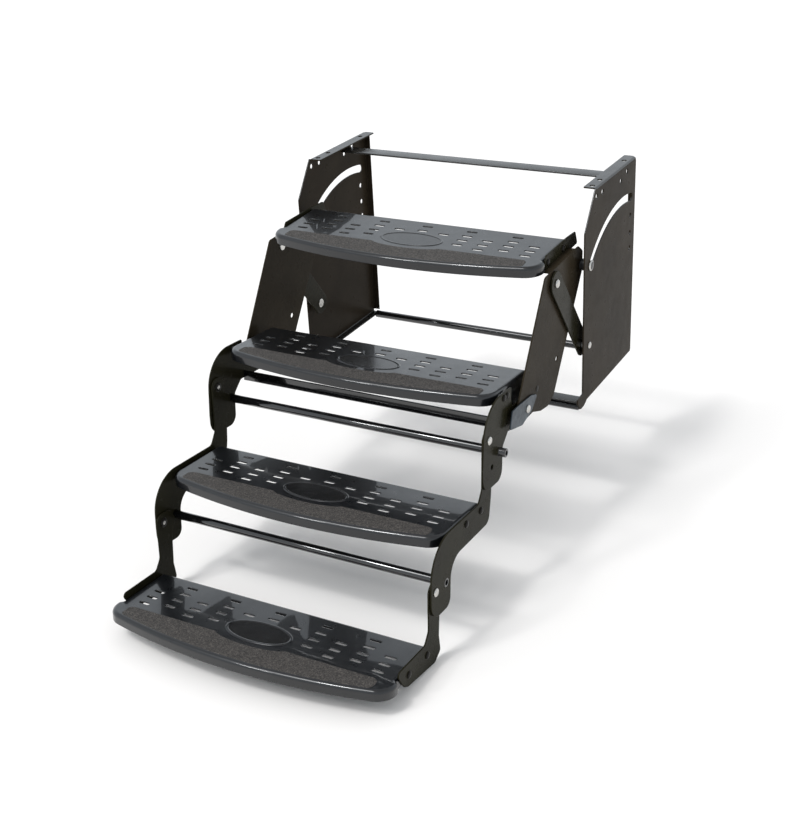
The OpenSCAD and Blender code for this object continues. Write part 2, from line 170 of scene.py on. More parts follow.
# ------------------------------------------------------------------ mesh building
class Build:
    def __init__(self):
        self.v, self.f = [], []

    def pts(self, ps):
        i = len(self.v)
        self.v += [tuple(p) for p in ps]
        return list(range(i, i + len(ps)))

    def strip(self, a, b, closed=True):
        m = len(a)
        for i in range(m if closed else m - 1):
            j = (i + 1) % m
            self.f.append((a[i], b[i], b[j], a[j]))

    def fill(self, loops, flat, up=True):
        """Flat face with holes. loops are index lists and flat the matching 2-D points."""
        tris = tessellate_polygon([[Vector((q[0], q[1], 0)) for q in fl] for fl in flat])
        ids = [i for l in loops for i in l]
        co = [q for fl in flat for q in fl]
        for t in tris:
            a, b, c = (co[k] for k in t)
            s = (b[0] - a[0]) * (c[1] - a[1]) - (c[0] - a[0]) * (b[1] - a[1])
            if abs(s) < 1e-9:
                continue
            t = [ids[k] for k in t]
            self.f.append(tuple(t if (s > 0) == up else reversed(t)))

    def plate(self, outer, holes, w0, w1, axes="x", ch=0.7, keep=None, rim=0.9):
        """Sheet with rounded edges. axes x: outline is (y, z); z: (x, y); y: (z, x)."""
        put = {"x": lambda u, v, w: (w, u, v), "z": lambda u, v, w: (u, v, w), "y": lambda u, v, w: (v, w, u)}[axes]
        loops = [tidy(outer) if area(outer) > 0 else tidy(outer)[::-1]]
        loops += [h if area(h) < 0 else h[::-1] for h in holes]
        prof = [(ch + rim, w1), (ch, w1), (ch * 0.62, w1 - ch * 0.08), (ch * 0.29, w1 - ch * 0.29), (ch * 0.08, w1 - ch * 0.62), (0, w1 - ch)]
        prof += [(a, w0 + (w1 - b)) for a, b in reversed(prof)]
        top, bot, ft, fb = [], [], [], []
        for lp in loops:
            prev = None
            for k, (s, w) in enumerate(prof):
                q = inset(lp, s, keep) if s else lp
                ids = self.pts([put(u, v, w) for u, v in q])
                if prev:
                    self.strip(prev, ids)
                else:
                    top.append(ids)
                    ft.append(q)
                prev = ids
            bot.append(prev)
            fb.append(q)
        self.fill(top, ft, True)
        self.fill(bot, fb, False)
        return self

    def lathe(self, prof, c, seg=56):
        """prof is (x, r) from the low-x end to the high-x end, about an axis along X through c."""
        prev = None
        for x, r in prof:
            if r < 1e-6:
                ids = self.pts([(x, c[0], c[1])])
            else:
                ids = self.pts([(x, c[0] + r * cos(2 * pi * i / seg), c[1] + r * sin(2 * pi * i / seg)) for i in range(seg)])
            if prev is None:
                if len(ids) > 1:
                    self.f.append(tuple(reversed(ids)))
            elif len(prev) == 1:
                for i in range(seg):
                    self.f.append((prev[0], ids[(i + 1) % seg], ids[i]))
            elif len(ids) == 1:
                for i in range(seg):
                    self.f.append((prev[i], prev[(i + 1) % seg], ids[0]))
            else:
                self.strip(ids, prev)
            prev = ids
        if len(prev) > 1:
            self.f.append(tuple(prev))
        return self

    def sleeve(self, x0, x1, r_in, r_out, c, ch=0.5, seg=56):
        """Ring about an axis along X."""
        prof = [(x0, r_in + ch), (x0, r_out - ch), (x0 + ch, r_out), (x1 - ch, r_out), (x1, r_out - ch), (x1, r_in + ch), (x1 - ch, r_in), (x0 + ch, r_in)]
        rings = [self.pts([(x, c[0] + r * cos(2 * pi * i / seg), c[1] + r * sin(2 * pi * i / seg)) for i in range(seg)]) for x, r in prof]
        for k in range(len(rings)):
            self.strip(rings[(k + 1) % len(rings)], rings[k])
        return self

    def join(self, other):
        k = len(self.v)
        self.v += other.v
        self.f += [tuple(k + i for i in q) for q in other.f]
        return self

    def mirrored(self):
        i = len(self.v)
        self.v += [(-x, y, z) for x, y, z in self.v[:i]]
        self.f += [tuple(i + k for k in reversed(f)) for f in self.f[:]]
        return self

    def flip_x(self):
        self.v = [(-x, y, z) for x, y, z in self.v]
        self.f = [tuple(reversed(f)) for f in self.f]
        return self

    def place(self, m):
        self.v = [tuple(m @ Vector(p)) for p in self.v]
        return self


def piece(name, b, mat, body, node=None, sharp=32, also=None):
    me = bpy.data.meshes.new(name)
    me.from_pydata([(x / 1000, y / 1000, z / 1000) for x, y, z in b.v], [], b.f)
    me.validate()
    for p in me.polygons:
        p.use_smooth = True
    me.set_sharp_from_angle(angle=radians(sharp))
    me.materials.append(mat)
    for k, (extra, test) in enumerate(also or [], 1):     # other finishes on the faces that a test picks
        me.materials.append(extra)
        for p in me.polygons:
            if test(p):
                p.material_index = k
    ob = bpy.data.objects.new(name, me)
    bpy.context.scene.collection.objects.link(ob)
    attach(ob, body)
    if node:
        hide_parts(*([node] if isinstance(node, str) else node))
    return ob


# ------------------------------------------------------------------ materials
def new_mat(name):
    m = bpy.data.materials.new(name)
    m.use_nodes = True
    nt = m.node_tree
    bs = nt.nodes["Principled BSDF"]
    return m, nt, bs


def node(nt, kind, **kw):
    n = nt.nodes.new(kind)
    for k, v in kw.items():
        setattr(n, k, v)
    return n


def noise(nt, co, scale, detail=3.0, rough=0.5):
    n = node(nt, "ShaderNodeTexNoise")
    n.inputs["Scale"].default_value = scale
    n.inputs["Detail"].default_value = detail
    n.inputs["Roughness"].default_value = rough
    nt.links.new(co, n.inputs["Vector"])
    return n


def ramp(nt, fac, stops):
    r = node(nt, "ShaderNodeValToRGB")
    e = r.color_ramp.elements
    e[0].position, e[1].position = stops[0][0], stops[-1][0]
    for p, c in stops[1:-1]:
        e.new(p)
    for k, (p, c) in enumerate(stops):
        e[k].color = (c[0], c[1], c[2], 1)
    nt.links.new(fac, r.inputs["Fac"])
    return r


def span(nt, fac, lo, hi):
    r = node(nt, "ShaderNodeMapRange")
    r.inputs["From Min"].default_value = 0.3
    r.inputs["From Max"].default_value = 0.7
    r.inputs["To Min"].default_value = lo
    r.inputs["To Max"].default_value = hi
    nt.links.new(fac, r.inputs["Value"])
    return r


def bump(nt, height, strength, dist, below=None):
    b = node(nt, "ShaderNodeBump")
    b.inputs["Strength"].default_value = strength
    b.inputs["Distance"].default_value = dist
    nt.links.new(height, b.inputs["Height"])
    if below:
        nt.links.new(below, b.inputs["Normal"])
    return b


def coat(name, dark, light, r_lo, r_hi, peel=0.12, coat_w=0.6, coat_r=0.04, ior=1.5, wavy=0.0, lean=0.0):
    """Gloss black powder coat: faint mottling, orange peel and a thin film of dust."""
    m, nt, bs = new_mat(name)
    co = node(nt, "ShaderNodeTexCoord").outputs["Object"]
    big = noise(nt, co, 7.0, 4.0, 0.55)
    col = ramp(nt, big.outputs["Fac"], [(0.35, dark), (0.68, light)])
    nt.links.new(col.outputs["Color"], bs.inputs["Base Color"])
    film = noise(nt, co, 38.0, 5.0, 0.6)
    nt.links.new(span(nt, film.outputs["Fac"], r_lo, r_hi).outputs["Result"], bs.inputs["Roughness"])
    fine = noise(nt, co, 420.0, 2.0, 0.5)
    wave = noise(nt, co, 60.0, 2.0, 0.4)
    b1 = bump(nt, fine.outputs["Fac"], peel, 0.00012)
    last = bump(nt, wave.outputs["Fac"], peel * 0.5, 0.0004, b1.outputs["Normal"])
    if wavy:                              # long waves left in the sheet by pressing
        swell = noise(nt, co, 8.0, 1.0, 0.4)
        last = bump(nt, swell.outputs["Fac"], 1.0, wavy, last.outputs["Normal"])
    if lean:                              # the deck is pressed a little out of flat, front to back
        xyz = node(nt, "ShaderNodeSeparateXYZ")
        nt.links.new(co, xyz.inputs["Vector"])
        last = bump(nt, xyz.outputs["Y"], 1.0, lean, last.outputs["Normal"])
        last.invert = True
    nt.links.new(last.outputs["Normal"], bs.inputs["Normal"])
    if wavy:
        nt.links.new(last.outputs["Normal"], bs.inputs["Coat Normal"])
    bs.inputs["Coat Weight"].default_value = coat_w
    bs.inputs["Coat Roughness"].default_value = coat_r
    bs.inputs["IOR"].default_value = ior
    return m


def metal(name, a, b, r_lo, r_hi, grain=0.15):
    m, nt, bs = new_mat(name)
    co = node(nt, "ShaderNodeTexCoord").outputs["Object"]
    cloud = noise(nt, co, 55.0, 4.0, 0.6)
    col = ramp(nt, cloud.outputs["Fac"], [(0.32, a), (0.7, b)])
    nt.links.new(col.outputs["Color"], bs.inputs["Base Color"])
    bs.inputs["Metallic"].default_value = 1.0
    film = noise(nt, co, 160.0, 4.0, 0.6)
    nt.links.new(span(nt, film.outputs["Fac"], r_lo, r_hi).outputs["Result"], bs.inputs["Roughness"])
    fine = noise(nt, co, 900.0, 2.0, 0.5)
    b1 = bump(nt, fine.outputs["Fac"], grain, 0.0001)
    nt.links.new(b1.outputs["Normal"], bs.inputs["Normal"])
    return m


def grit(name):
    m, nt, bs = new_mat(name)
    co = node(nt, "ShaderNodeTexCoord").outputs["Object"]
    v = node(nt, "ShaderNodeTexVoronoi")
    v.inputs["Scale"].default_value = 620.0
    nt.links.new(co, v.inputs["Vector"])
    n = noise(nt, co, 300.0, 4.0, 0.7)
    mix = node(nt, "ShaderNodeMath", operation="MULTIPLY")
    nt.links.new(v.outputs["Color"], mix.inputs[0])
    nt.links.new(n.outputs["Fac"], mix.inputs[1])
    col = ramp(nt, mix.outputs["Value"], [(0.05, (0.011, 0.0095, 0.0083)), (0.26, (0.039, 0.034, 0.030)), (0.5, (0.106, 0.094, 0.083))])
    nt.links.new(col.outputs["Color"], bs.inputs["Base Color"])
    nt.links.new(span(nt, n.outputs["Fac"], 0.55, 0.9).outputs["Result"], bs.inputs["Roughness"])
    b1 = bump(nt, v.outputs["Distance"], 0.7, 0.0006)
    nt.links.new(b1.outputs["Normal"], bs.inputs["Normal"])
    return m


M_TREAD = coat("tread_black", (0.0027, 0.0031, 0.0039), (0.0052, 0.0059, 0.0072), 0.26, 0.36, 0.035, 0.69, 0.03, 1.36, 0.0016)
# tread 4's deck only: a copy of the tread coat with a slightly lighter base and a weaker coat, toned for how this one
# deck catches the light, a lit copy of the same finish
M_TREAD_4 = coat("tread_4_black", (0.0031, 0.0036, 0.0046), (0.0060, 0.0069, 0.0084), 0.26, 0.36, 0.035, 0.63, 0.03, 1.36, 0.0016, 0.050)
M_FIELD = coat("tread_black_satin", (0.0060, 0.0060, 0.0062), (0.0105, 0.0105, 0.0108), 0.16, 0.25, 0.22, 0.25, 0.08, 1.45)
# frame sides: warm brown-grey base with the coat reflection turned almost off (IOR 1.09), a painted reflection of the
# pale floor in place of the real gloss
M_FRAME_FLOOR_SHEEN = coat("frame_black", (0.0196, 0.0150, 0.0100), (0.0309, 0.0238, 0.0158), 0.26, 0.36, 0.10, 0.0, 0.1, 1.09)
# up-facing frame faces and the flat bars: the same paint in a darker, cooler copy with a real coat reflection, a shaded
# counterpart of the painted floor sheen on the sides
M_SKY = coat("frame_black_top", (0.0120, 0.0115, 0.0105), (0.0210, 0.0200, 0.0180), 0.22, 0.32, 0.10, 0.15, 0.1, 1.5)
# legs: warm brown-grey base with the coat reflection turned almost off (IOR 1.10), a painted reflection of the pale
# floor in place of the real gloss
M_LEG_FLOOR_SHEEN = coat("leg_black", (0.0204, 0.0157, 0.0097), (0.0325, 0.0253, 0.0158), 0.24, 0.34, 0.09, 0.0, 0.1, 1.10)
# links, rails and folding brackets: warm base with the coat reflection turned almost off (IOR 1.135), a painted
# reflection of the pale floor in place of the real gloss
M_BRACKET_FLOOR_SHEEN = coat("bracket_black", (0.0112, 0.0101, 0.0052), (0.0180, 0.0166, 0.0088), 0.20, 0.30, 0.08, 0.0, 0.1, 1.135)
M_ROD = coat("rod_black", (0.0030, 0.0031, 0.0034), (0.0056, 0.0056, 0.0062), 0.08, 0.14, 0.03, 0.9, 0.02)
M_HEAD = coat("bolt_head_black", (0.0070, 0.0060, 0.0048), (0.0120, 0.0105, 0.0085), 0.24, 0.34, 0.10, 0.0, 0.1, 1.22)
M_DARK = coat("fastener_black", (0.012, 0.012, 0.0125), (0.024, 0.023, 0.023), 0.30, 0.45, 0.10, 0.2, 0.2)
M_NYLON = coat("roller_black", (0.008, 0.008, 0.0085), (0.014, 0.014, 0.0145), 0.36, 0.5, 0.06, 0.0, 0.2)
M_ZINC = metal("zinc_bright", (0.44, 0.43, 0.41), (0.64, 0.63, 0.60), 0.16, 0.30)
M_PLATE = metal("zinc_plate", (0.045, 0.055, 0.066), (0.095, 0.113, 0.130), 0.30, 0.46)
M_GRIP = grit("grip_grit")


# ------------------------------------------------------------------ small hardware
def dome(x, d, h, n=7):
    """Profile of a low domed head standing on x, for lathe()."""
    r = d / 2
    return [(x, r - 0.3), (x + 0.3, r), (x + h * 0.3, r)] + [
        (x + h * 0.3 + h * 0.7 * sin(a), r * cos(a)) for a in [pi / 2 * k / n for k in range(1, n)]] + [(x + h, 0)]


def rivet(b, c, d, h, x):
    return b.lathe(dome(x, d, h), c)


def shaft(b, c, d, x0, x1, ch=0.4):
    r = d / 2
    return b.lathe([(x0, r - ch), (x0 + ch, r), (x1 - ch, r), (x1, r - ch)], c)


# ------------------------------------------------------------------ frame
RB = 5.0                                  # outside radius of a bend
LEAD = 0.6                                # straight run on each side of a bend
EB = RB + LEAD


def bend(b, p0, p1, c, a0, a1, along, r_out=RB, t=3.0, n=9):
    """Quarter bend of a sheet between two end stations; c is the bend centre in the section plane."""
    g = 1 if a1 > a0 else -1
    ang = [radians(a0 + (a1 - a0) * i / n) for i in range(n + 1)]

    def side(r):
        q = [(c[0] + r * cos(w), c[1] + r * sin(w)) for w in ang]
        first = (q[0][0] + LEAD * g * sin(ang[0]), q[0][1] - LEAD * g * cos(ang[0]))
        last = (q[-1][0] - LEAD * g * sin(ang[-1]), q[-1][1] + LEAD * g * cos(ang[-1]))
        return [first] + q + [last]

    sec = side(r_out) + side(r_out - t)[::-1]
    n += 2
    a, d = b.pts([along(u, v, p0) for u, v in sec]), b.pts([along(u, v, p1) for u, v in sec])
    m = len(a)
    va, vb, vc = (Vector(b.v[k]) for k in (a[4], a[5], d[4]))
    out = (va + vb) / 2 - Vector(along(c[0], c[1], p0))
    flip = (vb - va).cross(vc - va).dot(out) < 0
    for i in range(m):
        j = (i + 1) % m
        f = (a[i], a[j], d[j], d[i])
        b.f.append(tuple(reversed(f)) if flip else f)
    for e, up in ((a, flip), (d, not flip)):
        for i in range(n):
            f = (e[i], e[i + 1], e[m - 2 - i], e[m - 1 - i])
            b.f.append(f if up else tuple(reversed(f)))
    return b


def frame_side():
    b = Build()
    outline = soft([(-EB, -EB, 0), (-250, -EB, 0), (-250.5, 0, 0), (-254, 0, 3), (-311, -79, 12), (-311, -438, 3), (-340, -438, 4),
                    (-340, -451, 6), (-323, -470, 8), (-304, -470, 6), (-290, -465, 2), (-288, -465 + EB, 0), (-EB, -465 + EB, 0)])
    g = G_W / 2
    slot = tidy(arc(G_C, G_R + g, G_A0, G_A1, 60) + arc(plus(G_C, (G_R * cos(radians(G_A1)), G_R * sin(radians(G_A1)))), g, G_A1, G_A1 - 180, 14)
                + arc(G_C, G_R - g, G_A1, G_A0, 60) + arc(plus(G_C, (G_R * cos(radians(G_A0)), G_R * sin(radians(G_A0)))), g, G_A0 - 180, G_A0 - 360, 14))
    holes = [slot] + [ring(p, 11) for p in ((-247, -18), (-213, -18), (-100, -27.5), (-62, -17), (-33, -124), (-33, -164), (-33, -200))]
    flat = lambda q: abs(q[0] + EB) < 0.01 or abs(q[1] + EB) < 0.01 or abs(q[1] + 465 - EB) < 0.01
    b.plate(outline, holes, HI, HW, "x", 0.8, flat)
    # top flange with its bolt holes
    at_bend = lambda q: abs(q[0] - (HW - EB)) < 0.01
    b.plate(soft([(HW - 29, -250, 3), (HW - EB, -250, 0), (HW - EB, -EB, 0), (HW - EB - 1.5, 0, 0), (HW - 29, 0, 3)]),
            [ring((HW - 14.5, y), 11, 36) for y in (-236, -192, -42)], -3, 0, "z", 0.7, at_bend)
    bend(b, -250, -EB, (HW - RB, -RB), 0, 90, lambda u, v, s: (u, s, v))
    # rear flange
    b.plate([(-465 + EB + 2, HW - 17), (-EB - 2, HW - 17), (-EB - 2, HW - EB), (-465 + EB + 2, HW - EB)], [], -3, 0, "y", 0.7, lambda q: abs(q[1] - (HW - EB)) < 0.01)
    bend(b, -465 + EB + 2, -EB - 2, (HW - RB, -RB), 0, 90, lambda u, v, s: (u, v, s))
    # bottom flange
    b.plate(soft([(HW - 19, -288, 3), (HW - EB, -288, 0), (HW - EB, -EB, 0), (HW - 19, -EB, 2)]), [], -465, -462, "z", 0.7, at_bend)
    bend(b, -288, -EB, (HW - RB, -465 + RB), 0, -90, lambda u, v, s: (u, s, v))
    return b.place(HOME)


UPWARD = [(M_SKY, lambda p: p.normal.z > 0.35)]   # up-facing faces take a darker, cooler copy of the same paint; the sides keep the warm painted floor reflection, so these are lit and shaded tones of one finish
piece("frame_side_right_sheet", frame_side(), M_FRAME_FLOOR_SHEEN, "frame", "frame_side_right", also=UPWARD)
piece("frame_side_left_sheet", frame_side().flip_x(), M_FRAME_FLOOR_SHEEN, "frame", "frame_side_left", also=UPWARD)

b = Build().plate(soft([(-114, -21, 1.2), (-75, -21, 1.2), (-75, -17, 1.2), (-114, -17, 1.2)], 5), [], -HI, HI, "x", 0.5)
piece("top_crossbar_flat", b.place(HOME), M_SKY, "frame", "top_crossbar")

b = Build()
shaft(b, (-19, -463), 18, 19 - HW, HW - 19, 0.6)
piece("rear_lower_rod_round", b.place(HOME), M_ROD, "frame", "rear_lower_rod")

b = Build().plate(soft([(-341, -448, 1.2), (-312, -448, 1.2), (-312, -444, 1.2), (-341, -444, 1.2)], 5), [], -HI, HI, "x", 0.5)
piece("front_lower_bar_flat", b.place(HOME), M_SKY, "frame", "front_lower_bar")

b = Build()
shaft(b, (-325, -463), 15, -HI, HI, 0.8)
piece("front_lower_rod_round", b.place(HOME), M_ROD, "frame", "front_lower_rod")

b = Build()
rivet(b, C_P, 15, 4, HW)
b.lathe([(HI - 0.2, 6), (HW + 0.2, 6)], C_P)
b.lathe([(XLINK + LINKT + 0.3, 10.4), (XLINK + LINKT + 0.9, 11), (HI - 0.6, 11), (HI, 10.4)], C_P)
b.lathe([(XLINK - 1.4, 9.2), (XLINK - 0.8, 10), (XLINK - 0.2, 10), (XLINK - 0.2, 6), (XLINK + LINKT + 0.4, 6)], C_P)
piece("frame_pivot_rivet_set", b.mirrored().place(HOME), M_ZINC, "frame", "frame_pivot_rivets")


# ------------------------------------------------------------------ links
def link():
    d = (B_P[0] - C_P[0], B_P[1] - C_P[1])
    w = atan2(d[1], d[0]) * 180 / pi
    o = arc(C_P, 25, w + 90, w + 270, 28) + arc(B_P, 25, w - 90, w + 90, 28)
    return Build().plate(o, [ring(C_P, 12.1), ring(B_P, 12.1)], XLINK, XLINK + LINKT, "x", 0.9).place(HOME)


piece("swing_link_right_bar", link(), M_BRACKET_FLOOR_SHEEN, "links", "swing_link_right")
piece("swing_link_left_bar", link().flip_x(), M_BRACKET_FLOOR_SHEEN, "links", "swing_link_left")


# ------------------------------------------------------------------ legs
def leg():
    o = soft([(-470, -119, 10), (-291, -113, 14), (-267, -130, 10), (-271, -174, 12), (-425, -393, 14),
              (-457, -404, 14), (-494, -398, 10), (-535, -382, 10), (-590, -381, 12), (-606, -368, 8), (-612, -345, 6), (-606, -330, 6)])
    b = Build().plate(o, [ring((-410, -317), 11), ring(FOOT, 12.1), ring(B_P, 12.1), ring(A_P, 14.7), ring(STOP, 8.1)], XLEG, XLEG + LT, "x", 0.8).place(HOME)
    return b.join(Build().plate([(TW - SHEET, -132), (XLEG + 0.3, -132), (XLEG + 0.3, 5), (TW - SHEET, 5)], [], -FLANGE - 3, -FLANGE, "z", 0.7).place(U1))


piece("leg_right_plate", leg(), M_LEG_FLOOR_SHEEN, "top_unit", "leg_right")
piece("leg_left_plate", leg().flip_x(), M_LEG_FLOOR_SHEEN, "top_unit", "leg_left")


# ------------------------------------------------------------------ treads
YC = F_R - DEPTH
REAR_R = 4.0
STEP_Y = -126.0                           # where the side steps out to the nose


def front(n):
    """Centre of the right front corner and the direction of its tangent point."""
    cx = TW + n - F_C
    cy = YC - sqrt((F_R - F_C) ** 2 - cx * cx)
    return cx, cy, atan2(cy - YC, cx) * 180 / pi


def plan(s, n=0.0):
    """Tread outline drawn in by s, CCW, always with the same number of points for one n."""
    cx, cy, w = front(n)
    rr = max(REAR_R - s, 0.3)
    cr = s + rr
    if n:
        q = STEP_Y - s * (sqrt(2) - 1)
        p1, p2 = (-TW + s, q), (-TW - n + s, q - n)
        side = [(-TW + s, -cr + (q + 8 + cr) * k / 16) for k in range(1, 17)]
        side += corner((-TW + s, 0), p1, p2, 4 + s, 6) + corner(p1, p2, (p2[0], p2[1] - 50), max(7 - s, 1.0), 6)
    else:
        side = [(-TW + s, -cr + (cy + cr) * k / 20) for k in range(1, 20)]
    o = arc((TW - cr, -cr), rr, 0, 90, 5)
    o += [(TW - cr - (2 * (TW - cr)) * k / 24, -s) for k in range(1, 24)]
    o += arc((-TW + cr, -cr), rr, 90, 180, 5)
    o += side
    o += arc((-cx, cy), F_C - s, 180, 180 - w, 16)
    o += arc((0, YC), F_R - s, 180 - w, 360 + w, 80)[1:-1]
    o += arc((cx, cy), F_C - s, 360 + w, 360, 16)
    o += [(-x, y) for x, y in reversed(side)]
    return o


def slot_loop(x, y, l=24.0, w=7.0, g=0.0):
    r = w / 2 + g
    h = (l - w) / 2
    return arc((x + h, y), r, -90, 90, 8) + arc((x - h, y), r, 90, 270, 8)


SLOTS = []
for k in (-4, -2, 0, 2, 4):
    for j in range(4):
        if k or j < 2:
            SLOTS.append((52.0 * k, -29.0 - 25 * j))
for k in (-5, -3, -1, 1, 3, 5):
    for j in range(3):
        if abs(k) > 1:
            SLOTS.append((52.0 * k, -67.0 - 24.5 * j))
        elif j == 0:
            SLOTS.append((52.0 * k, -60.0))


def oval(rx, ry, n=96):
    return [(rx * cos(2 * pi * i / n), -105 + ry * sin(2 * pi * i / n)) for i in range(n)]


def tread(n=0.0):
    b = Build()
    R = 8.0                               # outside radius of the rolled edge
    rows = [(R + 1.2, 0.0)]
    steps = 10
    for j in range(steps + 1):            # rolled top edge
        a = pi / 2 * j / steps
        rows.append((R * (1 - sin(a)), -R * (1 - cos(a))))
    rows += [(0, -R - 1.0), (0, -FLANGE + 1.8), (0, -FLANGE + 0.8), (0.25, -FLANGE + 0.25), (0.8, -FLANGE),
             (SHEET - 0.8, -FLANGE), (SHEET - 0.25, -FLANGE + 0.25), (SHEET, -FLANGE + 0.8), (SHEET, -FLANGE + 1.8), (SHEET, -R - 1.0)]
    for j in range(steps, -1, -1):        # inside of the bend
        a = pi / 2 * j / steps
        rows.append((SHEET + (R - SHEET) * (1 - sin(a)), -SHEET - (R - SHEET) * (1 - cos(a))))
    rows.append((R + 1.2, -SHEET))
    ids = [b.pts([(x, y, z) for x, y in plan(s, n)]) for s, z in rows]
    for p, q in zip(ids, ids[1:]):
        b.strip(p, q)
    # deck with slots and a plain raised oval
    top_l, top_f = [ids[0]], [plan(R + 1.2, n)]
    bot_l, bot_f = [ids[-1]], [plan(R + 1.2, n)]
    for x, y in SLOTS:
        prof = [(1.7, 0.0), (0.9, 0.0), (0.45, -0.12), (0.12, -0.45), (0.0, -0.95), (0.0, -SHEET + 0.3), (0.3, -SHEET), (1.0, -SHEET)]
        prev = None
        for g, z in prof:
            lp = slot_loop(x, y, 24, 7, g)[::-1]
            cur = b.pts([(u, v, z) for u, v in lp])
            if prev:
                b.strip(prev, cur)
            else:
                top_l.append(cur)
                top_f.append(lp)
            prev = cur
        bot_l.append(prev)
        bot_f.append(lp)
    prev = None
    for g, z in [(-1.0, 0), (0, 0), (0.3, 0.06), (0.7, 0.35), (1.2, 0.85), (1.7, 1.15), (2.3, 1.28), (3.2, 1.3), (4.1, 1.28), (4.7, 1.15), (5.2, 0.85), (5.7, 0.5), (6.1, 0.3), (6.8, 0.25), (8.0, 0.25)]:
        lp = oval(72 - g, 36 - g)[::-1]
        cur = b.pts([(u, v, z) for u, v in lp])
        if prev:
            b.strip(prev, cur)
        else:
            top_l.append(cur)
            top_f.append(lp)
        prev = cur
    b.fill([prev[::-1]], [lp[::-1]], True)
    b.fill(top_l, top_f, True)
    b.fill(bot_l, bot_f, False)
    return b


def grip(seed, n=0.0):
    """Anti-slip strip behind the front edge: grains in the mesh, edges feathered down to the deck."""
    rnd = random.Random(seed)
    b = Build()
    s = 8.0
    cx, cy, w = front(n)
    xe = TW - 27.0
    nu, nv = 360, 36
    rows = []
    for i in range(nu + 1):
        x = -xe * cos(pi * i / nu) * 0.12 - xe * (1 - 2 * i / nu) * 0.88
        ax = abs(x)
        if ax <= cx * (F_R - s) / (F_R - F_C):
            yf = YC - sqrt((F_R - s) ** 2 - x * x)
        else:
            yf = cy - sqrt(max((F_C - s) ** 2 - (ax - cx) ** 2, 0))
        yr = -137.0
        if ax < 76:
            yr -= 15.5 * sqrt(1 - (ax / 76) ** 2) ** 1.25
        if ax > xe - 14:
            yr -= 14 - sqrt(max(196 - (ax - xe + 14) ** 2, 0))
        if ax > xe - 7:
            yf += 7 - sqrt(max(49 - (ax - xe + 7) ** 2, 0))
        row = []
        for j in range(nv + 1):
            v = j / nv
            y = yr + (yf - yr) * v
            e = min(v, 1 - v) * nv
            h = 0.85 * min(1.0, e / 1.0) * min(1.0, min(i, nu - i) / 1.0)
            if 0 < i < nu and 0 < j < nv:
                h = 0.55 + rnd.uniform(-0.25, 0.35)
                y += rnd.uniform(-0.3, 0.3)
            else:
                h = 0.02
            row.append((x + (rnd.uniform(-0.4, 0.4) if 0 < i < nu and 0 < j < nv else 0), y, h))
        rows.append(b.pts(row))
    for p, q in zip(rows, rows[1:]):
        for j in range(nv):
            b.f.append((p[j], p[j + 1], q[j + 1], q[j]))
    under = [b.pts([(x, y, 0.0) for x, y, z in (b.v[k] for k in r)]) for r in rows]
    for p, q in zip(under, under[1:]):
        for j in range(nv):
            b.f.append((q[j], q[j + 1], p[j + 1], p[j]))
    for a, c in ((rows, under),):
        for i in range(nu):
            b.f.append((a[i][0], a[i + 1][0], c[i + 1][0], c[i][0]))
            b.f.append((a[i + 1][nv], a[i][nv], c[i][nv], c[i + 1][nv]))
        for j in range(nv):
            b.f.append((a[0][j + 1], a[0][j], c[0][j], c[0][j + 1]))
            b.f.append((a[nu][j], a[nu][j + 1], c[nu][j + 1], c[nu][j]))
    return b


for k, (u, body, n) in enumerate(((U1, "top_unit", NOSE), (U2, "second_unit", 0.0), (U3, "third_unit", 0.0), (U4, "fourth_unit", NOSE)), 1):
    v = u.inverted()

    def field(p):
        q = v @ (p.center * 1000)
        return (q.x / 66.5) ** 2 + ((q.y + 105) / 30.5) ** 2 < 1 and q.z > -1

    def deck(p):
        return (v.to_3x3() @ p.normal).z > 0.8

    b = tread(n)
    if k == 2:                            # ears that stiffen the side flanges above the foot pivot
        b.join(Build().plate(soft([(-104, -12, 0), (-104, -40, 14), (-80, -64, 14), (-24, -64, 16), (-6, -44, 12), (-6, -12, 0)]),
                             [], TW - SHEET + 0.2, TW - 0.2, "x", 0.6).mirrored())
    piece("tread_%d_pressing" % k, b.place(u), M_TREAD, body, "tread_%d" % k, 40, ([(M_TREAD_4, deck)] if k == 4 else []) + [(M_FIELD, field)])
    piece("tread_%d_grip_strip" % k, grip(10 + k, n).place(u), M_GRIP, body, "tread_%d_grip" % k, 60)


# ------------------------------------------------------------------ side bolts and spacers
def side_bolts(places, xh):
    b = Build()
    for p in places:
        rivet(b, p, 14, 3.5, xh)
        b.lathe([(TW - SHEET - 2, 3.95), (xh + 0.2, 3.95)], p)
        r = 6.5
        hexa = [(p[0] + r * 1.08 * cos(pi / 3 * i + 0.2), p[1] + r * 1.08 * sin(pi / 3 * i + 0.2)) for i in range(6)]
        b.plate(soft([(y, z, 0.5) for y, z in hexa], 3), [ring(p, 7.4, 20)], TW - SHEET - 4, TW - SHEET, "x", 0.4, None, 0.3)
    return b.mirrored()


def side_spacers(places, xo):
    b = Build()
    for p in places:
        b.sleeve(TW, xo, 4.0, 6.5, p, 0.4, 40)
    return b.mirrored()


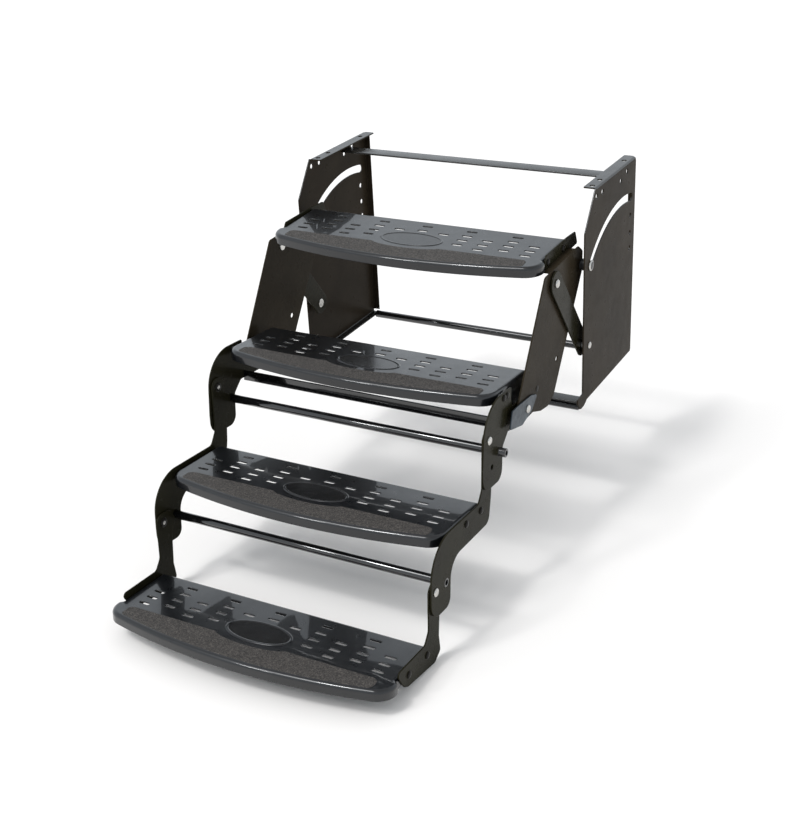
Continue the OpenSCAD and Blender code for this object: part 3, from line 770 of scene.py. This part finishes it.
B1 = ((-28, -11), (-108, -11))
B2 = ((-121, -12), (-136, -12))
B3 = ((-10, -12), (-74, -12))
B4 = ((-12, -12), (-84, -12))
piece("tread_1_bolt_set", side_bolts(B1, TW + BT).place(U1), M_HEAD, "top_unit", "tread_1_bolts")
piece("tread_2_bolt_set", side_bolts(B2, X2 + BT).place(U2), M_HEAD, "second_unit", "tread_2_bolts")
piece("tread_3_bolt_set", side_bolts(B3, X3 + BT).place(U3), M_HEAD, "third_unit", "tread_3_bolts")
piece("tread_4_bolt_set", side_bolts(B4, X4 + BT).place(U4), M_HEAD, "fourth_unit", "tread_4_bolts")
piece("tread_2_spacer_set", side_spacers(B2, X2).place(U2), M_DARK, "second_unit", "tread_2_spacers")
piece("tread_3_spacer_set", side_spacers(B3, X3).place(U3), M_DARK, "third_unit", "tread_3_spacers")

b = Build().plate(soft([(-122, -FLANGE, 2), (7, -FLANGE, 0), (12, -FLANGE - 7, 4), (53, -FLANGE - 7, 4), (42, 0, 4), (-6, 4, 14), (-114, 6, 5), (-122, -4, 4)]),
                  [ring(p, 8) for p in B1], TW, TW + BT, "x", 0.7)
piece("tread_1_rail_set", b.mirrored().place(U1), M_BRACKET_FLOOR_SHEEN, "top_unit", "tread_1_rails")

# ------------------------------------------------------------------ top unit hardware
b = Build()
rivet(b, B_P, 18, 5, XLINK + LINKT + 0.3)
b.lathe([(XLEG - 0.1, 6), (XLINK + LINKT + 0.5, 6)], B_P)
b.lathe([(XLEG + LT, 12.6), (XLEG + LT + 0.4, 13), (XLINK - 0.7, 13), (XLINK - 0.3, 12.6)], B_P)
b.lathe([(XLEG - 3, 8.6), (XLEG - 2.2, 9.6), (XLEG - 0.4, 10), (XLEG, 10)], B_P)
piece("link_rivet_set", b.mirrored().place(HOME), M_ZINC, "top_unit", "link_rivets")

b = Build().sleeve(XLEG + LT, HI - 0.5, 7.35, 12.5, A_P, 1.0)
piece("guide_roller_set", b.mirrored().place(HOME), M_NYLON, "top_unit", "guide_rollers")

b = Build()
b.lathe([(XLEG - 3, 8.4), (XLEG - 2.2, 9.6), (XLEG - 0.4, 10), (XLEG, 10), (XLEG, 7.3), (HW + 0.6, 7.3)], A_P)
rivet(b, A_P, 23, 5, HW + 0.5)
near = lambda p: hypot(p.center.y * 1000 - A_P[0] - Y0, p.center.z * 1000 - A_P[1]) < 8.6
piece("guide_pin_set", b.mirrored().place(HOME), M_ZINC, "top_unit", "guide_pins", also=[(M_DARK, near)])

o = soft([(-643, -330, 5), (-604, -332, 0), (-550, -337, 0), (-519, -348, 5), (-550, -372, 6), (-596, -382, 6), (-640, -370, 4), (-654, -366, 4)])
b = Build().plate(o, [ring(FOOT, 12.1)], XLEG + LT, XLEG + LT + FT, "x", 0.9)
piece("foot_plate_set", b.mirrored().place(HOME), M_PLATE, "top_unit", "foot_plates")

b = Build()
a = XLEG + LT + FT
rivet(b, FOOT, 17, 5, a)
b.lathe([(X2 - 5, 8.8), (X2 - 4.4, 10), (X2 - 0.7, 10), (X2 - 0.3, 9.6), (X2 - 0.3, 6), (a + 0.2, 6)], FOOT)
piece("foot_pivot_bolt_set", b.mirrored().place(HOME), M_ZINC, "top_unit", "foot_pivot_bolts")
b = Build().sleeve(X2 + BT + 0.3, XLEG, 6.05, 11, FOOT, 0.6)
piece("foot_spacer_set", b.mirrored().place(HOME), M_DARK, "top_unit", "foot_spacers")
b = Build()
b.lathe([(X2 - 1, 6.2), (X2 - 0.2, 7), (XLEG - 0.4, 7), (XLEG, 6.6), (XLEG, 4), (XLEG + LT + 0.1, 4)], STOP)
rivet(b, STOP, 13, 1.4, XLEG + LT)
piece("stop_stud_set", b.mirrored().place(HOME), M_HEAD, "top_unit", "stop_studs")

# ------------------------------------------------------------------ folding brackets
f = STOP_L[1] - 7.3
OUT2 = soft([(-101, -1, 4), (-224, -1, 75), (-228, -130, 0), (-226, -179, 34), (-137, -179, 22),
             (-137, -112, 14), (-112, -88, 10), (FOOT_L[0] + 12, -88, 22), (STOP_L[0] + 10, -70, 6), (STOP_L[0] + 10, f, 4),
             (FOOT_L[0] + 22, f, 6), (FOOT_L[0] + 10, -41.5, 8), (-94, -44, 8), (-101, -28, 6)])
HEEL3 = (ROD2[0] + RUN - ROD_D / 2 - 0.15, ROD2[1] + RISE)
HEEL4 = (ROD3[0] + RUN - ROD_D / 2 - 0.15, ROD3[1] + RISE)
NW = 21.0
h3 = (HY + RUN, H23 + RISE)
OUT3 = soft([(h3[0] - NW, h3[1] + NW, NW - 1.5), (h3[0] + NW, h3[1] + NW, NW - 1.5),
             (h3[0] + NW, HEEL3[1] + 26, 6), (HEEL3[0], HEEL3[1] + 12, 5), (HEEL3[0], HEEL3[1] - 12, 5), (39, HEEL3[1] - 28, 14),
             (36, -3, 0), (28, -54, 18), (-138, -57, 40), (-140, -149, 18),
             (-217, -149, 36), (-219, -100, 0), (-218, 5, 75), (-20, 5, 12), (-5, 30, 16)])
h4 = (HY + RUN, H34 + RISE)
OUT4 = soft([(h4[0] - NW, h4[1] + NW, NW - 1.5), (h4[0] + NW, h4[1] + NW, NW - 2),
             (HEEL4[0], HEEL4[1] + 1, 2), (HEEL4[0], HEEL4[1] - 14, 5), (39, HEEL4[1] - 28, 14),
             (36, 5, 12), (43, -30, 8), (21, -46, 14), (-86, -36, 10), (-102, -28, 8), (-130, 12, 8), (-20, 12, 10), (-5, 34, 16)])


def bracket(out, holes, x, u):
    return Build().plate(out, holes, x, x + BT, "x", 0.7).place(u)


def sides(name, out, holes, x, u, body, nodes):
    piece(name + "_right_plate", bracket(out, holes, x, u), M_BRACKET_FLOOR_SHEEN, body, nodes + "_right")
    piece(name + "_left_plate", bracket(out, holes, x, u).flip_x(), M_BRACKET_FLOOR_SHEEN, body, nodes + "_left")


sides("bracket_2", OUT2, [ring(FOOT_L, 12.1), ring((HY, H23), 12.1), ring(ROD2, 18.1, 40), ring((-186, -136), 11)] + [ring(p, 8) for p in B2], X2, U2, "second_unit", "bracket_2")
sides("bracket_3", OUT3, [ring(h3, 12.1), ring((HY, H34), 12.1), ring(ROD3, 18.1, 40)] + [ring(p, 8) for p in B3], X3, U3, "third_unit", "bracket_3")
sides("bracket_4", OUT4, [ring(h4, 12.1)] + [ring(p, 8) for p in B4], X4, U4, "fourth_unit", "bracket_4")

def tube_end(b, c, d, x, bore, deep):
    """Rod along X from -x to x with a blind bore in each end."""
    r, q = d / 2, bore / 2
    half = [(x - deep, 0), (x - deep, q), (x - 0.6, q), (x, q + 0.6), (x, r - 1.0), (x - 0.3, r - 0.3), (x - 1.0, r)]
    return b.lathe([(-u, v) for u, v in half] + half[::-1], c)


b = Build()
tube_end(b, ROD2, 18, HW - 15, 10.0, 9.0)
piece("tie_rod_2_round", b.place(U2), M_ROD, "second_unit", "tie_rod_2")
b = Build()
tube_end(b, ROD3, 18, X3 + BT, 11.0, 9.0)
piece("tie_rod_3_round", b.place(U3), M_ROD, "third_unit", "tie_rod_3")
b = Build().plate(soft([(-101, -94, 1.5), (-96, -94, 1.5), (-96, -72, 1.5), (-101, -72, 1.5)], 5), [], -X2, X2, "x", 0.5)
piece("cross_bar_2_flat", b.place(U2), M_ROD, "second_unit", "cross_bar_2")


def hinge_rivets(p, xi, xo):
    b = Build()
    rivet(b, p, 17, 4.5, xo + BT)
    b.lathe([(xi + BT + 0.2, 11), (xo, 11), (xo, 6), (xo + BT + 0.2, 6)], p)
    b.lathe([(xi - 3, 0), (xi - 3, 2.4), (xi - 2.7, 3.4), (xi - 2.2, 4.2), (xi - 2.2, 8.6), (xi - 1.9, 9.3), (xi - 1.4, 9.8), (xi - 0.7, 10), (xi - 0.3, 9.7), (xi - 0.3, 6), (xi + BT + 0.3, 6)], p)
    return b.mirrored()


def tail(u, p, xi):
    """Black washer face round the formed end of a hinge pin."""
    v = u.inverted()

    def test(f):
        q = v @ (f.center * 1000)
        return abs(q.x) < xi - 0.1 and hypot(q.y - p[0], q.z - p[1]) > 4.3
    return [(M_HEAD, test)]


piece("hinge_rivet_2_set", hinge_rivets((HY, H23), X3, X2).place(U2), M_ZINC, "second_unit", "hinge_rivets_2", also=tail(U2, (HY, H23), X3))
piece("hinge_rivet_3_set", hinge_rivets((HY, H34), X4, X3).place(U3), M_ZINC, "third_unit", "hinge_rivets_3", also=tail(U3, (HY, H34), X4))

# ------------------------------------------------------------------ floor, light, camera
low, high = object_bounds()
FLOOR_Z = low[2] - 0.0005
me = bpy.data.meshes.new("floor")
S = 14.0
me.from_pydata([(-S, -S, FLOOR_Z), (S, -S, FLOOR_Z), (S, S, FLOOR_Z), (-S, S, FLOOR_Z)], [], [(0, 1, 2, 3)])
floor = bpy.data.objects.new("floor", me)
bpy.context.scene.collection.objects.link(floor)
fm, nt, bs = new_mat("floor_pale")
co = node(nt, "ShaderNodeTexCoord").outputs["Object"]
nz = noise(nt, co, 1.2, 2.0, 0.5)
nt.links.new(ramp(nt, nz.outputs["Fac"], [(0.3, (0.880, 0.850, 0.820)), (0.7, (0.892, 0.862, 0.832))]).outputs["Color"], bs.inputs["Base Color"])
bs.inputs["Roughness"].default_value = 0.8
bs.inputs["Specular IOR Level"].default_value = 0.1
me.materials.append(fm)
floor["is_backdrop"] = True

world = bpy.data.worlds.new("studio")
bpy.context.scene.world = world
world.use_nodes = True
wn = world.node_tree
bg = wn.nodes["Background"]
tc = node(wn, "ShaderNodeTexCoord")
sx = node(wn, "ShaderNodeSeparateXYZ")
wn.links.new(tc.outputs["Generated"], sx.inputs["Vector"])
wr = ramp(wn, sx.outputs["Z"], [(0.0, (0.84, 0.89, 0.94)), (0.26, (0.88, 0.94, 1.0)), (0.52, (0.86, 0.92, 0.98)), (0.8, (0.70, 0.72, 0.75)), (1.0, (0.62, 0.62, 0.63))])
wn.links.new(wr.outputs["Color"], bg.inputs["Color"])
bg.inputs["Strength"].default_value = 1.0
bpy.context.scene.view_settings.view_transform = "Standard"
bpy.context.scene.view_settings.look = "None"


def sun(name, az, el, spread, power, color):
    l = bpy.data.lights.new(name, "SUN")
    l.energy, l.angle, l.color = power, radians(spread), color
    o = bpy.data.objects.new(name, l)
    d = Vector((sin(radians(az)) * cos(radians(el)), -cos(radians(az)) * cos(radians(el)), sin(radians(el))))
    o.rotation_euler = (-d).to_track_quat("-Z", "Y").to_euler()
    bpy.context.scene.collection.objects.link(o)


sun("key", -25.0, 60.0, 26.0, 1.02, (0.97, 0.985, 1.0))
sun("glint", -24.0, 59.0, 7.0, 0.62, (0.98, 0.99, 1.0))
sun("side", -34.0, 40.0, 7.0, 0.40, (0.98, 0.99, 1.0))

az, el, roll = radians(29.30), radians(26.22), radians(-3.05)
back = Vector((sin(az) * cos(el), -cos(az) * cos(el), sin(el)))
fw = -back
r = fw.cross(Vector((0, 0, 1))).normalized()
u = r.cross(fw)
r2 = cos(roll) * r + sin(roll) * u
u2 = -sin(roll) * r + cos(roll) * u
cam = bpy.data.cameras.new("camera")
cam.lens = 59.69
cam.sensor_width = 36.0
cam.sensor_fit = "HORIZONTAL"
cam.clip_end = 60
co = bpy.data.objects.new("camera", cam)
co.matrix_world = Matrix(((r2.x, u2.x, back.x, 1.2511), (r2.y, u2.y, back.y, -2.5941), (r2.z, u2.z, back.z, 0.8110), (0, 0, 0, 1)))
bpy.context.scene.collection.objects.link(co)
bpy.context.scene.camera = co

low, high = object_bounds()
